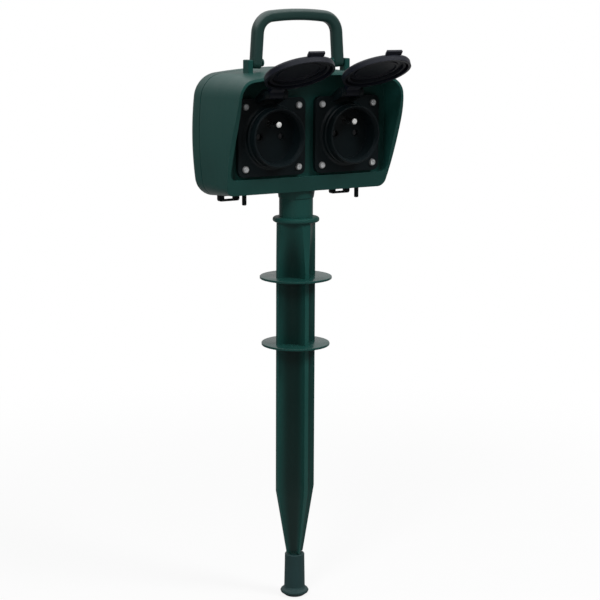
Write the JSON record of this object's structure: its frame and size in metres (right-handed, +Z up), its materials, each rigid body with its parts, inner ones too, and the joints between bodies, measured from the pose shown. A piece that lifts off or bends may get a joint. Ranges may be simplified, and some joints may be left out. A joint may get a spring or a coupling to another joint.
{
  "type": "garden socket",
  "caption": "Hooded outlet box with lidded recessed sockets and a folding handle, standing on a fluted ground spike with depth discs and a point cap.",
  "frame": {"origin": "on the spike's axis at the ground line, under the lower disc", "axes": "+Z up along the spike, +X to the right seen from the front, -Y towards the user"},
  "size_m": [0.1508, 0.138, 0.475],
  "materials": {
    "green_plastic": "satin moulded, fine grain",
    "black_plastic": "matte moulded",
    "rubber": "soft matte",
    "bright_steel": "zinc plated",
    "contact_brass": "stamped",
    "white_plastic": "moulded insulator"
  },
  "bodies": {
    "stand": {"front_housing": "green_plastic", "rear_cover": "green_plastic", "neck_tube": "green_plastic", "collar_ring": "green_plastic", "spike_shaft": "green_plastic", "upper_disc": "green_plastic", "lower_disc": "green_plastic", "handle_pin_left": "green_plastic", "handle_pin_right": "green_plastic", "gland_body": "black_plastic", "gland_nut": "black_plastic", "gland_locknut": "black_plastic", "neck_locknut": "black_plastic", "cable_loop_left": "black_plastic", "cable_loop_right": "black_plastic", "peg_left": "black_plastic", "peg_right": "black_plastic", "housing_seal": "rubber", "gland_seal": "rubber", "cover_screws": "bright_steel", "terminal_block": "white_plastic", "socket_flange_left": "black_plastic", "contact_carrier_left": "white_plastic", "flange_gasket_left": "rubber", "flange_screws_left": "bright_steel", "hinge_pin_left": "bright_steel", "earth_pin_left": "bright_steel", "live_contact_left": "contact_brass", "neutral_contact_left": "contact_brass", "socket_flange_right": "black_plastic", "contact_carrier_right": "white_plastic", "flange_gasket_right": "rubber", "flange_screws_right": "bright_steel", "hinge_pin_right": "bright_steel", "earth_pin_right": "bright_steel", "live_contact_right": "contact_brass", "neutral_contact_right": "contact_brass"},
    "lid_left": {"lid_left": "black_plastic", "lid_gasket_left": "rubber"},
    "lid_right": {"lid_right": "black_plastic", "lid_gasket_right": "rubber"},
    "handle": {"handle": "green_plastic"},
    "shutter_left": {"shutter_left": "white_plastic"},
    "shutter_right": {"shutter_right": "white_plastic"},
    "tip_cap": {"tip_cap": "green_plastic"}
  },
  "joints": [
    {"name": "lid_hinge_left", "type": "hinge", "parent": "stand", "child": "lid_left", "pos_m": [-0.03815, -0.0305, 0.2014], "axis": [1, 0, 0], "range_deg": [0, 115]},
    {"name": "lid_hinge_right", "type": "hinge", "parent": "stand", "child": "lid_right", "pos_m": [0.03015, -0.0305, 0.2014], "axis": [1, 0, 0], "range_deg": [0, 115]},
    {"name": "handle_fold", "type": "hinge", "parent": "stand", "child": "handle", "pos_m": [0, -0.001, 0.2236], "axis": [1, 0, 0], "range_deg": [-90, 0]},
    {"name": "shutter_slide_left", "type": "slide", "parent": "stand", "child": "shutter_left", "axis": [-1, 0, 0], "range_m": [0, 0.0054], "stiffness_N_per_m": 40, "springref_m": -0.003},
    {"name": "shutter_slide_right", "type": "slide", "parent": "stand", "child": "shutter_right", "axis": [-1, 0, 0], "range_m": [0, 0.0054], "stiffness_N_per_m": 40, "springref_m": -0.003},
    {"name": "cap_pull", "type": "slide", "parent": "stand", "child": "tip_cap", "axis": [0, 0, -1], "range_m": [0, 0.026]}
  ]
}
